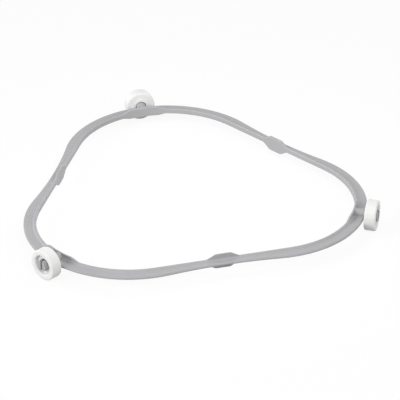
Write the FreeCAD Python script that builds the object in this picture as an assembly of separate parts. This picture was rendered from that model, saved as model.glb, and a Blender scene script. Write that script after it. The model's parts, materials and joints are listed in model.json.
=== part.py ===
import FreeCAD, Part
import math
import os

# Microwave roller ring: one moulded three-lobed frame with a split snap pin at each lobe, and a loose
# roller on each pin. Millimetres, +Z up. The origin is on the ring's axis at floor level, and the
# rollers stand on z = 0.

# Rollers in order round the ring, the bearing of the first from +X, and the angle from one to the next.
ROLLERS = ("roller_back", "roller_left", "roller_right")
FIRST_BEARING = 90.0
PITCH = 360.0 / len(ROLLERS)

# Frame plan: the wall's inner face reaches furthest at the rollers, and its straight sides lie closer in.
# The flange's widths are measured outwards from that face; its sides bow inwards.
WALL_LOBE_REACH = 98.95
WALL_SIDE_INSET = 22.55
WALL_THICKNESS = 1.2
FLANGE_LOBE_WIDTH = 7.2
FLANGE_SIDE_WIDTH = 4.9

# Frame section: the flange lies across the wall, with its top at the height of the roller axles, and a
# shoulder slopes at 45 degrees from the flange up to the top of the wall. The wall's inner rim is bevelled.
FLANGE_THICKNESS = 1.3
FLANGE_EDGE_BEVEL = 0.5
WALL_ABOVE = 1.0
WALL_BELOW = 1.9
WALL_RIM_BEVEL = 0.4

# Plates where the wall grows taller: half length of the flat, half length at the wall, rise and drop.
PAD_FLAT = 4.4
PAD_FOOT = 9.5
PAD_RISE = 3.8
PAD_DROP = 5.1
ROLLER_PLATE_FLAT = 9.0
ROLLER_PLATE_FOOT = 13.5
ROLLER_PLATE_RISE = 2.9
ROLLER_PLATE_DROP = 3.05
PLATE_CORNER_ROUND = 3.0

# Rollers: the tread, the dished outer face, and the hub ring that stands proud towards the frame.
ROLLER_RADIUS = 9.0
ROLLER_WIDTH = 6.6
TREAD_ROUND = 0.7
RIM_WALL = 3.3
DISH_DEPTH = 2.0
DISH_BEVEL = 0.6
HUB_WALL = 1.7
HUB_PROUD = 0.3

# Snap pins: the slit lets the two prongs close, and their barbs hold the roller on.
PIN_RADIUS = 2.9
BARB_OVERLAP = 0.3
TIP_TAPER = 0.4
TIP_BEYOND_ROLLER = 0.55
SLIT_WIDTH = 1.3
SLIT_LENGTH = 6.5

# Clearances between a roller and the frame.
PIN_TO_BORE = 0.4
HUB_TO_FLANGE = 0.2
BARB_TO_DISH = 0.25

# Sizes that follow from the ones above.
HALF_PITCH = PITCH / 2.0
FLANGE_TOP = ROLLER_RADIUS
FLANGE_BOTTOM = FLANGE_TOP - FLANGE_THICKNESS
WALL_TOP = FLANGE_TOP + WALL_ABOVE
WALL_BOTTOM = FLANGE_TOP - WALL_BELOW
WALL_SIDE_DISTANCE = WALL_LOBE_REACH - WALL_SIDE_INSET
WALL_LOBE_RADIUS = WALL_LOBE_REACH - WALL_SIDE_INSET / (1.0 - math.cos(math.radians(HALF_PITCH)))
FLANGE_LOBE_REACH = WALL_LOBE_REACH + FLANGE_LOBE_WIDTH
BORE_RADIUS = PIN_RADIUS + PIN_TO_BORE
BARB_RADIUS = BORE_RADIUS + BARB_OVERLAP
HUB_RADIUS = BORE_RADIUS + HUB_WALL
DISH_RADIUS = ROLLER_RADIUS - RIM_WALL
HUB_FACE = FLANGE_LOBE_REACH + HUB_TO_FLANGE
ROLLER_INNER_FACE = HUB_FACE + HUB_PROUD
ROLLER_OUTER_FACE = ROLLER_INNER_FACE + ROLLER_WIDTH
DISH_FLOOR = ROLLER_OUTER_FACE - DISH_DEPTH

FULL_TURN = 360.0
QUARTER_TURN = 90.0
ROUND_FACETS = 2
TINY = 1e-4
UP = FreeCAD.Vector(0, 0, 1)
OUTWARD = FreeCAD.Vector(1, 0, 0)


def point(x, y, z=0.0):
    return FreeCAD.Vector(x, y, z)


def polar(distance, degrees, about=point(0, 0)):
    """Point in plan at a distance and bearing from another point."""
    bearing = math.radians(degrees)
    return about + point(distance * math.cos(bearing), distance * math.sin(bearing))


def turned(shape, degrees):
    """Copy of a shape turned about the ring's axis."""
    copy = shape.copy()
    copy.rotate(point(0, 0), UP, degrees)
    return copy


def roller_bearings():
    """Bearing of each roller, in order."""
    return [FIRST_BEARING + PITCH * index for index in range(len(ROLLERS))]


def side_edge(start, middle, end):
    """Straight edge where the middle lies on the chord, otherwise an arc through all three points."""
    if (middle - (start + end) * 0.5).Length < TINY:
        return Part.makeLine(start, end)
    return Part.Arc(start, middle, end).toShape()


def plan_face(lobe_reach, lobe_radius, side_distance):
    """Face inside a loop of lobe arcs joined by tangent sides at the given distance from the axis."""
    lobe_offset = lobe_reach - lobe_radius
    half_chord = lobe_offset * math.sin(math.radians(HALF_PITCH))
    straight_distance = lobe_offset * math.cos(math.radians(HALF_PITCH)) + lobe_radius
    bow = side_distance - straight_distance
    half_turn = HALF_PITCH - math.degrees(2.0 * math.atan(bow / half_chord))
    edges = []
    for bearing in roller_bearings():
        centre = polar(lobe_offset, bearing)
        next_centre = polar(lobe_offset, bearing + PITCH)
        start = polar(lobe_radius, bearing - half_turn, centre)
        crown = polar(lobe_radius, bearing, centre)
        end = polar(lobe_radius, bearing + half_turn, centre)
        next_start = polar(lobe_radius, bearing + PITCH - half_turn, next_centre)
        edges.append(Part.Arc(start, crown, end).toShape())
        edges.append(side_edge(end, polar(side_distance, bearing + HALF_PITCH), next_start))
    return Part.Face(Part.Wire(edges))


def slab(face, bottom, top):
    """Plan face raised into a solid between two heights."""
    raised = face.copy()
    raised.translate(point(0, 0, bottom))
    return raised.extrude(UP * (top - bottom))


def wall_plan(offset):
    """Plan inside the wall's inner face, moved outwards by an offset."""
    return plan_face(WALL_LOBE_REACH + offset, WALL_LOBE_RADIUS + offset, WALL_SIDE_DISTANCE + offset)


def rounded_loop(corners):
    """Closed wire through (point, radius) corners; a corner with a radius is rounded by an arc."""
    spans = []
    for index, (corner, radius) in enumerate(corners):
        before = (corners[index - 1][0] - corner).normalize()
        after = (corners[(index + 1) % len(corners)][0] - corner).normalize()
        half = before.getAngle(after) / 2.0
        reach = radius / math.tan(half)
        inset = radius / math.sin(half) - radius
        middle = corner + (before + after).normalize() * inset
        spans.append((corner + before * reach, middle, corner + after * reach))
    edges = []
    for index, (start, middle, end) in enumerate(spans):
        if (end - start).Length > TINY:
            edges.append(Part.Arc(start, middle, end).toShape())
        edges.append(Part.makeLine(end, spans[(index + 1) % len(spans)][0]))
    return Part.Wire(edges)


def plate_prism(flat, foot, rise, drop):
    """Prism along +X whose outline swells from the wall's height to the plate's height and back."""
    run_out = foot + PLATE_CORNER_ROUND
    right = [
        (flat, FLANGE_TOP - drop, PLATE_CORNER_ROUND),
        (foot, WALL_BOTTOM, PLATE_CORNER_ROUND),
        (run_out, WALL_BOTTOM, 0.0),
        (run_out, WALL_TOP, 0.0),
        (foot, WALL_TOP, PLATE_CORNER_ROUND),
        (flat, FLANGE_TOP + rise, PLATE_CORNER_ROUND),
    ]
    left = [(-across, height, radius) for across, height, radius in reversed(right)]
    corners = [(point(0, across, height), radius) for across, height, radius in right + left]
    return Part.Face(rounded_loop(corners)).extrude(OUTWARD * FLANGE_LOBE_REACH)


def inner_rim(wall, inside):
    """Edges along the top of the wall that lie on the face of the space inside it."""
    rim = []
    for edge in wall.Edges:
        middle = Part.Vertex(edge.valueAt((edge.FirstParameter + edge.LastParameter) / 2.0))
        if edge.BoundBox.ZMin > FLANGE_TOP and middle.distToShape(inside.Shells[0])[0] < TINY:
            rim.append(edge)
    return rim


def make_wall():
    """Upright wall that grows into a guide pad on each side and a taller plate at each roller."""
    pad = plate_prism(PAD_FLAT, PAD_FOOT, PAD_RISE, PAD_DROP)
    roller_plate = plate_prism(ROLLER_PLATE_FLAT, ROLLER_PLATE_FOOT, ROLLER_PLATE_RISE, ROLLER_PLATE_DROP)
    plates = []
    for bearing in roller_bearings():
        plates.append(turned(roller_plate, bearing))
        plates.append(turned(pad, bearing + HALF_PITCH))
    level = Part.makeCylinder(FLANGE_LOBE_REACH, WALL_TOP - WALL_BOTTOM, point(0, 0, WALL_BOTTOM))
    band_bottom = FLANGE_TOP - 2.0 * max(PAD_DROP, ROLLER_PLATE_DROP)
    band_top = FLANGE_TOP + 2.0 * max(PAD_RISE, ROLLER_PLATE_RISE)
    inside = slab(wall_plan(0.0), band_bottom, band_top)
    band = slab(wall_plan(WALL_THICKNESS), band_bottom, band_top).cut(inside)
    wall = band.common(level.fuse(plates)).removeSplitter()
    return wall.makeChamfer(WALL_RIM_BEVEL, inner_rim(wall, inside))


def make_flange():
    """Flat flange round the outside of the wall, with its outer edge bevelled at the top."""
    lobe_radius = WALL_LOBE_RADIUS + FLANGE_LOBE_WIDTH
    outline = plan_face(FLANGE_LOBE_REACH, lobe_radius, WALL_SIDE_DISTANCE + FLANGE_SIDE_WIDTH)
    flange = slab(outline, FLANGE_BOTTOM, FLANGE_TOP)
    rim = [edge for edge in flange.Edges if edge.BoundBox.ZMin > FLANGE_TOP - TINY]
    flange = flange.makeChamfer(FLANGE_EDGE_BEVEL, rim)
    return flange.cut(slab(wall_plan(WALL_THICKNESS / 2.0), FLANGE_BOTTOM, FLANGE_TOP))


def make_shoulder():
    """Shoulder on the flange along the outside of the wall, sloping up to the top of the wall."""
    shoulder = slab(wall_plan(WALL_THICKNESS + WALL_ABOVE), FLANGE_BOTTOM, WALL_TOP)
    crest = [edge for edge in shoulder.Edges if edge.BoundBox.ZMin > FLANGE_TOP]
    shoulder = shoulder.makeChamfer(WALL_ABOVE, crest)
    return shoulder.cut(slab(wall_plan(WALL_THICKNESS / 2.0), FLANGE_BOTTOM, WALL_TOP))


def make_pin():
    """Snap pin along +X, rooted in the wall: a shaft with a barbed and tapered tip, slit upright."""
    root = WALL_LOBE_REACH + WALL_THICKNESS / 2.0
    barb = DISH_FLOOR + BARB_TO_DISH
    tip = ROLLER_OUTER_FACE + TIP_BEYOND_ROLLER
    shaft = Part.makeCylinder(PIN_RADIUS, barb - root, point(root, 0, ROLLER_RADIUS), OUTWARD)
    tip_radius = BARB_RADIUS - TIP_TAPER
    head = Part.makeCone(BARB_RADIUS, tip_radius, tip - barb, point(barb, 0, ROLLER_RADIUS), OUTWARD)
    corner = point(tip - SLIT_LENGTH, -SLIT_WIDTH / 2.0, 0)
    slit = Part.makeBox(2.0 * SLIT_LENGTH, SLIT_WIDTH, 2.0 * ROLLER_RADIUS, corner)
    return shaft.fuse(head).cut(slit)


def make_frame():
    """The whole moulding: wall, flange, shoulder and pins as one solid."""
    pin = make_pin()
    pins = [turned(pin, bearing) for bearing in roller_bearings()]
    return make_wall().fuse([make_flange(), make_shoulder()] + pins).removeSplitter()


def rounded_corner(face, side):
    """Section points round a tread corner, from the tread to the given face on the given side."""
    points = []
    for index in range(ROUND_FACETS + 1):
        turn = math.radians(QUARTER_TURN * index / ROUND_FACETS)
        along = face - side * TREAD_ROUND * (1.0 - math.sin(turn))
        out = ROLLER_RADIUS - TREAD_ROUND * (1.0 - math.cos(turn))
        points.append((along, out))
    return points


def make_roller():
    """Roller on the +X side, turned about its own axle line."""
    section = [(HUB_FACE, BORE_RADIUS), (HUB_FACE, HUB_RADIUS), (ROLLER_INNER_FACE, HUB_RADIUS)]
    section += reversed(rounded_corner(ROLLER_INNER_FACE, -1.0))
    section += rounded_corner(ROLLER_OUTER_FACE, 1.0)
    section += [
        (ROLLER_OUTER_FACE, DISH_RADIUS + DISH_BEVEL),
        (ROLLER_OUTER_FACE - DISH_BEVEL, DISH_RADIUS),
        (DISH_FLOOR, DISH_RADIUS),
        (DISH_FLOOR, BORE_RADIUS),
    ]
    loop = [point(along, 0, ROLLER_RADIUS + out) for along, out in section]
    face = Part.Face(Part.makePolygon(loop + loop[:1]))
    return face.revolve(point(0, 0, ROLLER_RADIUS), OUTWARD, FULL_TURN)


os.makedirs("parts", exist_ok=True)
make_frame().exportStep("parts/ring_frame.step")
roller = make_roller()
for name, bearing in zip(ROLLERS, roller_bearings()):
    turned(roller, bearing).exportStep("parts/" + name + ".step")
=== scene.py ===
import bpy
import json
import math
from mathutils import Matrix, Vector

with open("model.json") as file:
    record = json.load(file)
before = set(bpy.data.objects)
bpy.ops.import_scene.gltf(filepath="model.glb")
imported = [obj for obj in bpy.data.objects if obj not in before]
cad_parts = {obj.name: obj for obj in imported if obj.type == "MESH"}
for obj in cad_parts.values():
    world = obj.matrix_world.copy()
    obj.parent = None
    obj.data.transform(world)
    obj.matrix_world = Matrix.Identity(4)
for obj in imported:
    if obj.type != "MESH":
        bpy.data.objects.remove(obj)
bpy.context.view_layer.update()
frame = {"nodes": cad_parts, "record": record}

MM = 0.001
FULL_WHITE = (1, 1, 1, 1)

# Camera fitted to the outline: azimuth and elevation of the view, distance, aim and focal length.
VIEW_AZIMUTH = math.radians(-15.67)
VIEW_ELEVATION = math.radians(30.98)
VIEW_DISTANCE = 1301.4 * MM
AIM_RIGHT = 8.07 * MM
AIM_UP = -5.42 * MM
AXLE_HEIGHT = 9.0 * MM
SENSOR = 36.0
FOCAL_LENGTH = 200.86
CLIP_START = 0.01
CLIP_END = 50.0

# Soft boxes aimed at the origin: name, azimuth and elevation in degrees, distance and edge in metres, watts.
SOFT_BOXES = [
    ("left soft box", 193, 22, 1.3, 0.7, 9.1),
    ("front soft box", 265, 52, 1.3, 0.7, 4.7),
    ("right soft box", 322, 21, 1.3, 0.7, 4.3),
    ("back left soft box", 132, 9, 1.3, 0.4, 3.2),
    ("back right soft box", 48, 9, 1.3, 0.4, 3.2),
    ("overhead soft box", 0, 90, 0.13, 0.1, 0.076),
]
SURROUND_LIGHT = 0.365

# Floor: as seen it is pale with a large share of plain white; as light on the object it throws back a grey.
FLOOR_HALF = 3.0
FLOOR_DROP = 0.05 * MM
FLOOR_DARK = (0.93, 0.93, 0.93, 1)
FLOOR_LIGHT = (0.96, 0.96, 0.96, 1)
FLOOR_CLOUDING = 3.0
FLOOR_ROUGHNESS = 0.9
FLOOR_WHITE = 0.9
FLOOR_BOUNCE = (0.5, 0.5, 0.5, 1)

# Plastic: two close tones of each colour, roughness and specular level.
GREY_DARK = (0.4, 0.4, 0.41, 1)
GREY_LIGHT = (0.42, 0.42, 0.43, 1)
GREY_ROUGHNESS = 0.52
GREY_SPECULAR = 0.15
WHITE_DARK = (0.79, 0.79, 0.78, 1)
WHITE_LIGHT = (0.82, 0.82, 0.81, 1)
WHITE_ROUGHNESS = 0.48
WHITE_SPECULAR = 0.25
PLASTIC_IOR = 1.5

# Surface detail of the plastic: scales of the three noises, and how far each one shows.
CLOUD_SCALE = 45.0
CLOUD_LOW = 0.3
CLOUD_HIGH = 0.7
SHEEN_SCALE = 160.0
SHEEN_SPREAD = 0.04
GRAIN_SCALE = 900.0
GRAIN_STRENGTH = 0.02
GRAIN_DEPTH = 0.1 * MM
EDGE_SOFTNESS = 0.2 * MM
EDGE_SAMPLES = 6


def node(tree, kind, **values):
    """New shader node with the given input values."""
    made = tree.nodes.new(kind)
    for name, value in values.items():
        made.inputs[name].default_value = value
    return made


def noise(tree, place, scale, detail, roughness=0.5):
    """Noise over the object's own coordinates, as a factor."""
    made = node(tree, "ShaderNodeTexNoise", Scale=scale, Detail=detail, Roughness=roughness)
    tree.links.new(place.outputs["Object"], made.inputs["Vector"])
    return made.outputs["Fac"]


def two_tones(tree, factor, dark, light, low=0.0, high=1.0):
    """Colour that goes from dark to light with a factor."""
    ramp = tree.nodes.new("ShaderNodeValToRGB")
    first, last = ramp.color_ramp.elements
    first.position, first.color = low, dark
    last.position, last.color = high, light
    tree.links.new(factor, ramp.inputs["Fac"])
    return ramp.outputs["Color"]


def moulded_plastic(name, dark, light, roughness, specular):
    """Injection-moulded plastic: faint clouding of the colour, an uneven sheen and softened edges."""
    material = bpy.data.materials.new(name)
    material.use_nodes = True
    tree = material.node_tree
    shader = tree.nodes["Principled BSDF"]
    place = tree.nodes.new("ShaderNodeTexCoord")

    clouds = noise(tree, place, CLOUD_SCALE, 3.0, 0.55)
    colour = two_tones(tree, clouds, dark, light, CLOUD_LOW, CLOUD_HIGH)
    tree.links.new(colour, shader.inputs["Base Color"])

    sheen = noise(tree, place, SHEEN_SCALE, 2.0)
    spread = tree.nodes.new("ShaderNodeMapRange")
    spread.inputs["To Min"].default_value = roughness - SHEEN_SPREAD
    spread.inputs["To Max"].default_value = roughness + SHEEN_SPREAD
    tree.links.new(sheen, spread.inputs["Value"])
    tree.links.new(spread.outputs["Result"], shader.inputs["Roughness"])

    grain = noise(tree, place, GRAIN_SCALE, 2.0, 0.6)
    soft = node(tree, "ShaderNodeBevel", Radius=EDGE_SOFTNESS)
    soft.samples = EDGE_SAMPLES
    bump = node(tree, "ShaderNodeBump", Strength=GRAIN_STRENGTH, Distance=GRAIN_DEPTH)
    tree.links.new(grain, bump.inputs["Height"])
    tree.links.new(soft.outputs["Normal"], bump.inputs["Normal"])
    tree.links.new(bump.outputs["Normal"], shader.inputs["Normal"])

    shader.inputs["IOR"].default_value = PLASTIC_IOR
    shader.inputs["Specular IOR Level"].default_value = specular
    return material


def paint_parts():
    """Gives each CAD node the plastic of its material slot."""
    grey = moulded_plastic("grey moulded plastic", GREY_DARK, GREY_LIGHT, GREY_ROUGHNESS, GREY_SPECULAR)
    white = moulded_plastic("white moulded plastic", WHITE_DARK, WHITE_LIGHT, WHITE_ROUGHNESS, WHITE_SPECULAR)
    paint = {"grey_plastic": grey, "white_plastic": white}
    for part in frame["record"]["subparts"]:
        cad = frame["nodes"][part["node"]]
        cad.data.materials.clear()
        cad.data.materials.append(paint[part["material_slot"]])


def seen_directly(tree):
    """Factor of 1 where a surface is seen, mirrored or seen through glass, and 0 for the light it throws."""
    path = tree.nodes.new("ShaderNodeLightPath")
    factor = path.outputs["Is Camera Ray"]
    for ray in ("Is Glossy Ray", "Is Transmission Ray"):
        either = tree.nodes.new("ShaderNodeMath")
        either.operation = "MAXIMUM"
        tree.links.new(factor, either.inputs[0])
        tree.links.new(path.outputs[ray], either.inputs[1])
        factor = either.outputs["Value"]
    return factor


def white_background(tree, lit, share):
    """Mixes a lit shader with plain white where it is seen directly, and returns the mixed shader."""
    plain = node(tree, "ShaderNodeEmission", Color=FULL_WHITE, Strength=1.0)
    part = tree.nodes.new("ShaderNodeMath")
    part.operation = "MULTIPLY"
    part.inputs[1].default_value = share
    tree.links.new(seen_directly(tree), part.inputs[0])
    mix = tree.nodes.new("ShaderNodeMixShader")
    tree.links.new(part.outputs["Value"], mix.inputs["Fac"])
    tree.links.new(lit, mix.inputs[1])
    tree.links.new(plain.outputs["Emission"], mix.inputs[2])
    return mix.outputs["Shader"]


def floor_material():
    """Pale floor that looks nearly white, keeps a faint shadow and throws a grey back on the object."""
    material = bpy.data.materials.new("pale floor")
    material.use_nodes = True
    tree = material.node_tree
    shader = tree.nodes["Principled BSDF"]
    shader.inputs["Roughness"].default_value = FLOOR_ROUGHNESS
    shader.inputs["Specular IOR Level"].default_value = 0.0
    place = tree.nodes.new("ShaderNodeTexCoord")
    pale = two_tones(tree, noise(tree, place, FLOOR_CLOUDING, 1.0), FLOOR_DARK, FLOOR_LIGHT)
    tint = tree.nodes.new("ShaderNodeMix")
    tint.data_type = "RGBA"
    tint.inputs["A"].default_value = FLOOR_BOUNCE
    tree.links.new(seen_directly(tree), tint.inputs["Factor"])
    tree.links.new(pale, tint.inputs["B"])
    tree.links.new(tint.outputs["Result"], shader.inputs["Base Color"])
    seen = white_background(tree, shader.outputs["BSDF"], FLOOR_WHITE)
    tree.links.new(seen, tree.nodes["Material Output"].inputs["Surface"])
    return material


def make_floor():
    """Plain floor that the rollers stand on."""
    half = FLOOR_HALF
    mesh = bpy.data.meshes.new("floor")
    corners = [(-half, -half, 0), (half, -half, 0), (half, half, 0), (-half, half, 0)]
    mesh.from_pydata(corners, [], [(0, 1, 2, 3)])
    mesh.materials.append(floor_material())
    floor = bpy.data.objects.new("floor", mesh)
    floor.location.z = -FLOOR_DROP
    bpy.context.scene.collection.objects.link(floor)


def make_world():
    """Even surround: a plain level as light, full white where it is seen or mirrored."""
    world = bpy.data.worlds.new("white surround")
    bpy.context.scene.world = world
    world.use_nodes = True
    tree = world.node_tree
    light = tree.nodes["Background"]
    light.inputs["Color"].default_value = FULL_WHITE
    light.inputs["Strength"].default_value = SURROUND_LIGHT
    seen = white_background(tree, light.outputs["Background"], 1.0)
    tree.links.new(seen, tree.nodes["World Output"].inputs["Surface"])


def make_lamp(name, azimuth, elevation, distance, size, power):
    """Square soft box in a direction from the origin, turned to it and hidden from the camera."""
    turn = math.radians(azimuth)
    rise = math.radians(elevation)
    level = math.cos(rise)
    place = distance * Vector((level * math.cos(turn), level * math.sin(turn), math.sin(rise)))
    data = bpy.data.lights.new(name, "AREA")
    data.shape = "SQUARE"
    data.size = size
    data.energy = power
    lamp = bpy.data.objects.new(name, data)
    lamp.location = place
    lamp.rotation_euler = (-place).to_track_quat("-Z", "Y").to_euler()
    lamp.visible_camera = False
    bpy.context.scene.collection.objects.link(lamp)


def make_camera():
    """Camera placed as the photograph's outline fits."""
    right = Vector((math.cos(VIEW_AZIMUTH), math.sin(VIEW_AZIMUTH), 0))
    away = Vector((-math.sin(VIEW_AZIMUTH), math.cos(VIEW_AZIMUTH), 0))
    up = away * math.sin(VIEW_ELEVATION) + Vector((0, 0, math.cos(VIEW_ELEVATION)))
    forward = away * math.cos(VIEW_ELEVATION) - Vector((0, 0, math.sin(VIEW_ELEVATION)))
    aim = Vector((0, 0, AXLE_HEIGHT)) + right * AIM_RIGHT + up * AIM_UP
    data = bpy.data.cameras.new("camera")
    data.sensor_width = SENSOR
    data.lens = FOCAL_LENGTH
    data.clip_start = CLIP_START
    data.clip_end = CLIP_END
    camera = bpy.data.objects.new("camera", data)
    turn = Matrix((right, up, -forward)).transposed().to_4x4()
    camera.matrix_world = Matrix.Translation(aim - forward * VIEW_DISTANCE) @ turn
    bpy.context.scene.collection.objects.link(camera)
    bpy.context.scene.camera = camera


paint_parts()
make_floor()
make_world()
for soft_box in SOFT_BOXES:
    make_lamp(*soft_box)
make_camera()
bpy.context.scene.view_settings.view_transform = "Standard"
